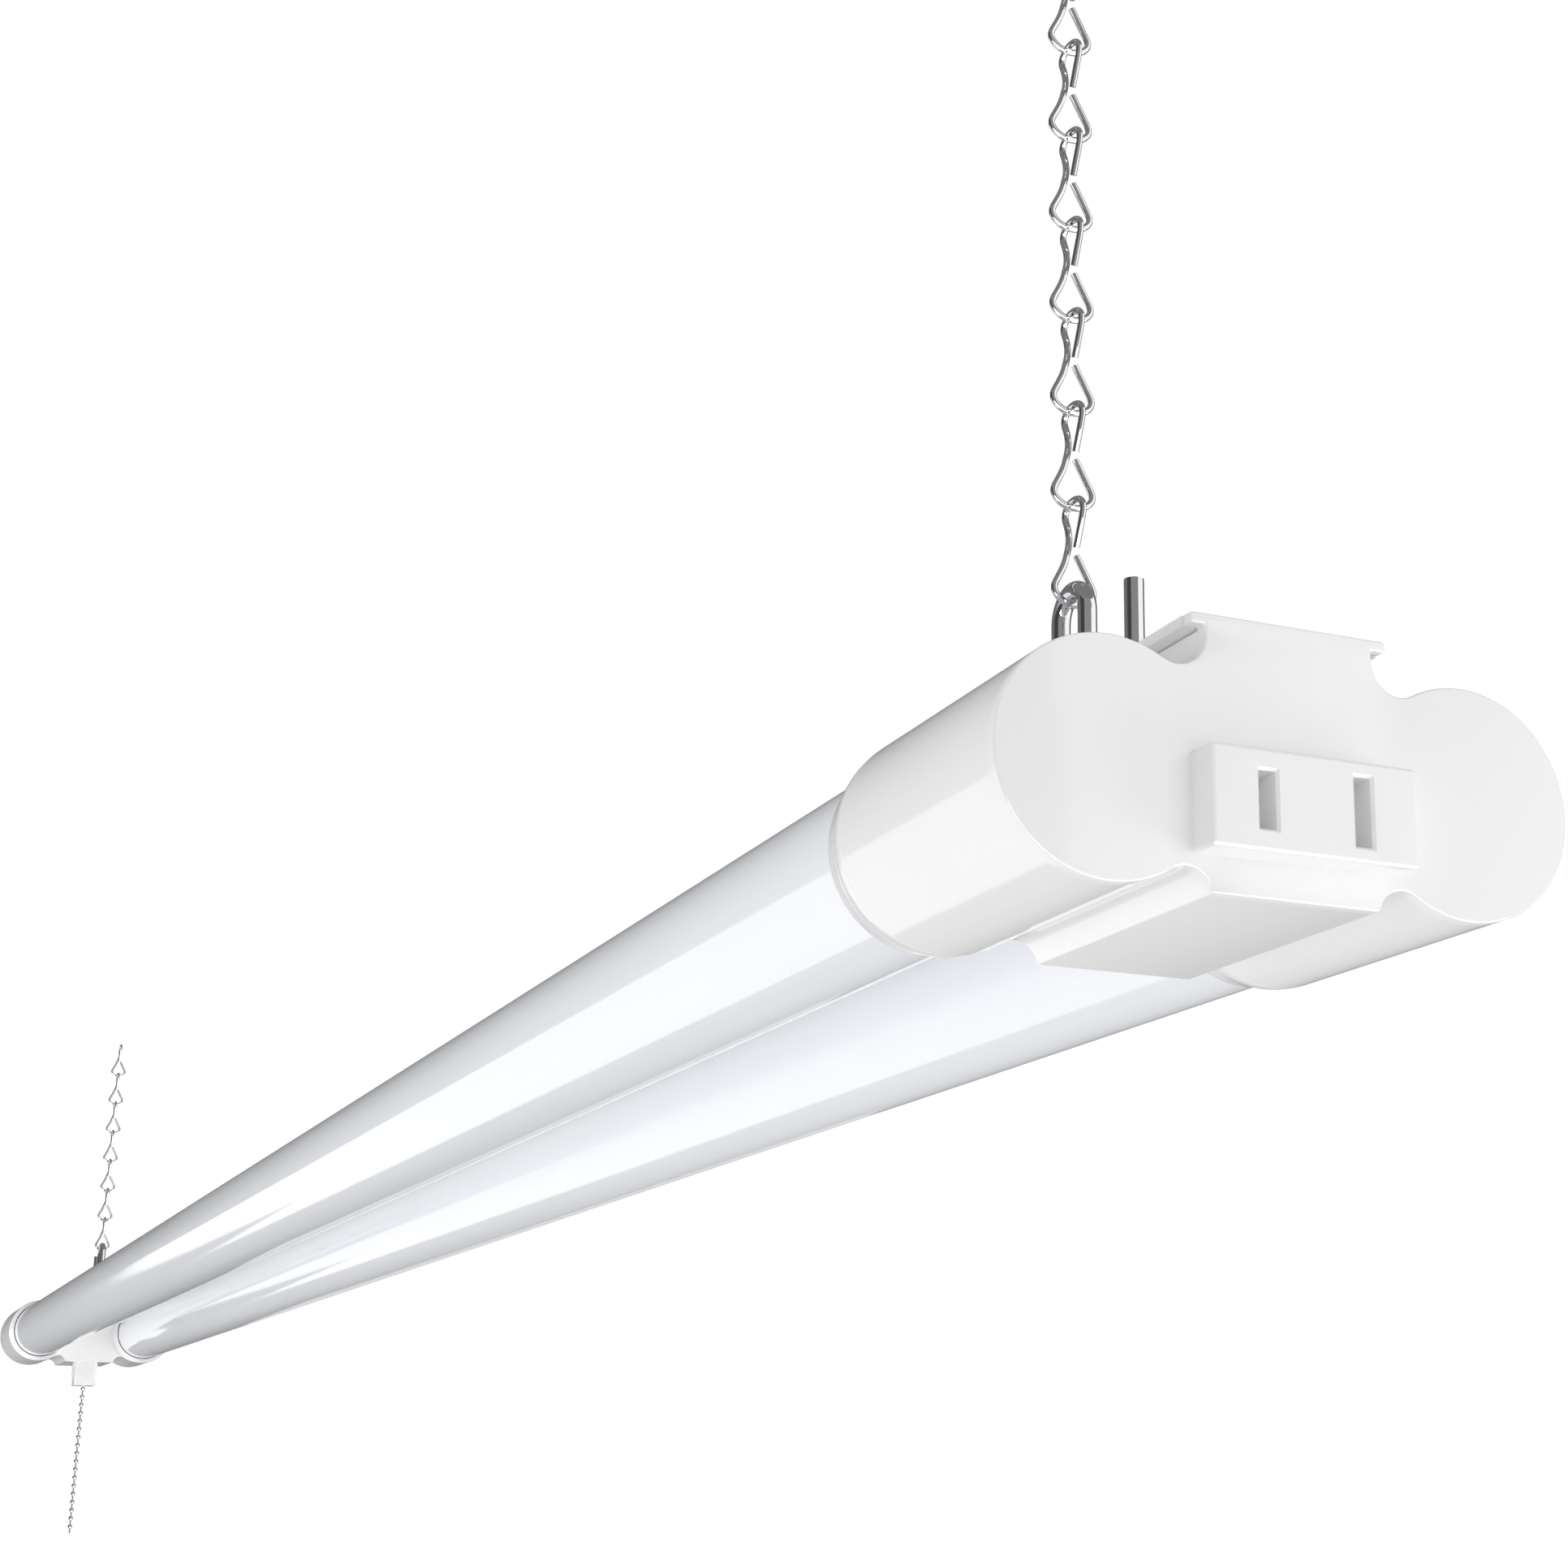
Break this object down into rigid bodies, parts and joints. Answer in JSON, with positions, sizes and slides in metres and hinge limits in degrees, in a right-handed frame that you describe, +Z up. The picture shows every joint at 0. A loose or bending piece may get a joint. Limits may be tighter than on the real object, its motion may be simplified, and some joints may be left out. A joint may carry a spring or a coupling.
{
  "type": "hanging shop light",
  "caption": "Slim double-tube LED shop light with moulded end caps, wire hooks and jack chains to hang it, an end outlet and a pull-chain switch.",
  "frame": {"origin": "middle of the rail's top face", "axes": "+X across the two tubes, +Y along the tubes from the outlet end to the switch end, +Z up"},
  "size_m": [0.08, 1.206, 0.2456],
  "materials": {
    "white_metal": "gloss",
    "white_plastic": "gloss",
    "frosted_plastic": "satin",
    "bare_aluminium": "satin",
    "white_board": "matte",
    "led_yellow": "matte",
    "green_board": "satin",
    "component_mix": "satin",
    "grey_liner": "matte",
    "black_wire": "satin",
    "red_wire": "satin",
    "brass": "satin",
    "zinc_screw": "satin",
    "black_rubber": "matte",
    "brown_resin": "matte",
    "spring_steel": "satin",
    "bright_steel": "polished",
    "natural_plastic": "matte"
  },
  "bodies": {
    "fixture": {"base_rail": "white_metal", "near_end_cap": "white_plastic", "far_end_cap": "white_plastic", "left_diffuser": "frosted_plastic", "right_diffuser": "frosted_plastic", "left_led_strip": "bare_aluminium", "right_led_strip": "bare_aluminium", "left_led_board": "white_board", "right_led_board": "white_board", "left_leds": "led_yellow", "right_leds": "led_yellow", "led_leads": "red_wire", "driver_board": "green_board", "driver_parts": "component_mix", "driver_liner": "grey_liner", "feed_wires": "black_wire", "outlet_block": "white_plastic", "outlet_contacts": "brass", "cap_screws": "zinc_screw", "cord_grommet": "black_rubber", "switch_housing": "white_plastic", "switch_contacts": "brass"},
    "pull_slider": {"pull_slider": "natural_plastic", "return_spring": "spring_steel"},
    "contact_rotor": {"contact_rotor": "brown_resin"},
    "pull_chain_upper": {"pull_chain_upper": "bright_steel"},
    "pull_chain_middle": {"pull_chain_middle": "bright_steel"},
    "pull_chain_lower": {"pull_chain_lower": "bright_steel"},
    "near_hook": {"near_hook": "bright_steel"},
    "far_hook": {"far_hook": "bright_steel"},
    "near_link_1": {"near_link_1": "bright_steel"},
    "near_link_2": {"near_link_2": "bright_steel"},
    "near_link_3": {"near_link_3": "bright_steel"},
    "near_link_4": {"near_link_4": "bright_steel"},
    "near_link_5": {"near_link_5": "bright_steel"},
    "near_link_6": {"near_link_6": "bright_steel"},
    "near_link_7": {"near_link_7": "bright_steel"},
    "far_link_1": {"far_link_1": "bright_steel"},
    "far_link_2": {"far_link_2": "bright_steel"},
    "far_link_3": {"far_link_3": "bright_steel"},
    "far_link_4": {"far_link_4": "bright_steel"},
    "far_link_5": {"far_link_5": "bright_steel"},
    "far_link_6": {"far_link_6": "bright_steel"},
    "far_link_7": {"far_link_7": "bright_steel"}
  },
  "joints": [
    {"name": "pull_stroke", "type": "slide", "parent": "fixture", "child": "pull_slider", "axis": [0, 0, -1], "range_m": [0, 0.005], "stiffness_N_per_m": 600, "springref_m": -0.002, "deforming": ["return_spring"]},
    {"name": "rotor_turn", "type": "hinge", "parent": "fixture", "child": "contact_rotor", "pos_m": [0, 0.57, -0.027], "axis": [0, 0, 1], "range_deg": [0, 90]},
    {"name": "pull_chain_upper_swing", "type": "hinge", "parent": "pull_slider", "child": "pull_chain_upper", "pos_m": [0, 0.57, -0.04725], "axis": [1, 0, 0], "range_deg": [-60, 60]},
    {"name": "pull_chain_middle_swing", "type": "hinge", "parent": "pull_chain_upper", "child": "pull_chain_middle", "pos_m": [0, 0.57, -0.07125], "axis": [0, 1, 0], "range_deg": [-60, 60]},
    {"name": "pull_chain_lower_swing", "type": "hinge", "parent": "pull_chain_middle", "child": "pull_chain_lower", "pos_m": [0, 0.57, -0.09525], "axis": [1, 0, 0], "range_deg": [-60, 60]},
    {"name": "near_hook_swing", "type": "hinge", "parent": "fixture", "child": "near_hook", "pos_m": [0, -0.5539, -0.00295], "axis": [0, 1, 0], "range_deg": [-25, 25]},
    {"name": "near_link_1_tilt", "type": "hinge", "parent": "near_hook", "child": "near_link_1", "pos_m": [0, -0.5429, 0.0211], "axis": [1, 0, 0], "range_deg": [-30, 30]},
    {"name": "near_link_2_tilt", "type": "hinge", "parent": "near_link_1", "child": "near_link_2", "pos_m": [0, -0.5429, 0.03915], "axis": [0, 1, 0], "range_deg": [-30, 30]},
    {"name": "near_link_3_tilt", "type": "hinge", "parent": "near_link_2", "child": "near_link_3", "pos_m": [0, -0.5429, 0.0509], "axis": [1, 0, 0], "range_deg": [-30, 30]},
    {"name": "near_link_4_tilt", "type": "hinge", "parent": "near_link_3", "child": "near_link_4", "pos_m": [0, -0.5429, 0.06895], "axis": [0, 1, 0], "range_deg": [-30, 30]},
    {"name": "near_link_5_tilt", "type": "hinge", "parent": "near_link_4", "child": "near_link_5", "pos_m": [0, -0.5429, 0.0807], "axis": [1, 0, 0], "range_deg": [-30, 30]},
    {"name": "near_link_6_tilt", "type": "hinge", "parent": "near_link_5", "child": "near_link_6", "pos_m": [0, -0.5429, 0.09875], "axis": [0, 1, 0], "range_deg": [-30, 30]},
    {"name": "near_link_7_tilt", "type": "hinge", "parent": "near_link_6", "child": "near_link_7", "pos_m": [0, -0.5429, 0.1105], "axis": [1, 0, 0], "range_deg": [-30, 30]},
    {"name": "far_hook_swing", "type": "hinge", "parent": "fixture", "child": "far_hook", "pos_m": [0, 0.5539, -0.00295], "axis": [0, 1, 0], "range_deg": [-25, 25]},
    {"name": "far_link_1_tilt", "type": "hinge", "parent": "far_hook", "child": "far_link_1", "pos_m": [0, 0.5429, 0.0211], "axis": [1, 0, 0], "range_deg": [-30, 30]},
    {"name": "far_link_2_tilt", "type": "hinge", "parent": "far_link_1", "child": "far_link_2", "pos_m": [0, 0.5429, 0.03915], "axis": [0, 1, 0], "range_deg": [-30, 30]},
    {"name": "far_link_3_tilt", "type": "hinge", "parent": "far_link_2", "child": "far_link_3", "pos_m": [0, 0.5429, 0.0509], "axis": [1, 0, 0], "range_deg": [-30, 30]},
    {"name": "far_link_4_tilt", "type": "hinge", "parent": "far_link_3", "child": "far_link_4", "pos_m": [0, 0.5429, 0.06895], "axis": [0, 1, 0], "range_deg": [-30, 30]},
    {"name": "far_link_5_tilt", "type": "hinge", "parent": "far_link_4", "child": "far_link_5", "pos_m": [0, 0.5429, 0.0807], "axis": [1, 0, 0], "range_deg": [-30, 30]},
    {"name": "far_link_6_tilt", "type": "hinge", "parent": "far_link_5", "child": "far_link_6", "pos_m": [0, 0.5429, 0.09875], "axis": [0, 1, 0], "range_deg": [-30, 30]},
    {"name": "far_link_7_tilt", "type": "hinge", "parent": "far_link_6", "child": "far_link_7", "pos_m": [0, 0.5429, 0.1105], "axis": [1, 0, 0], "range_deg": [-30, 30]}
  ],
  "couplings": [
    {"joint": "rotor_turn", "follows": "pull_stroke", "rad_per_m": 314.16}
  ]
}
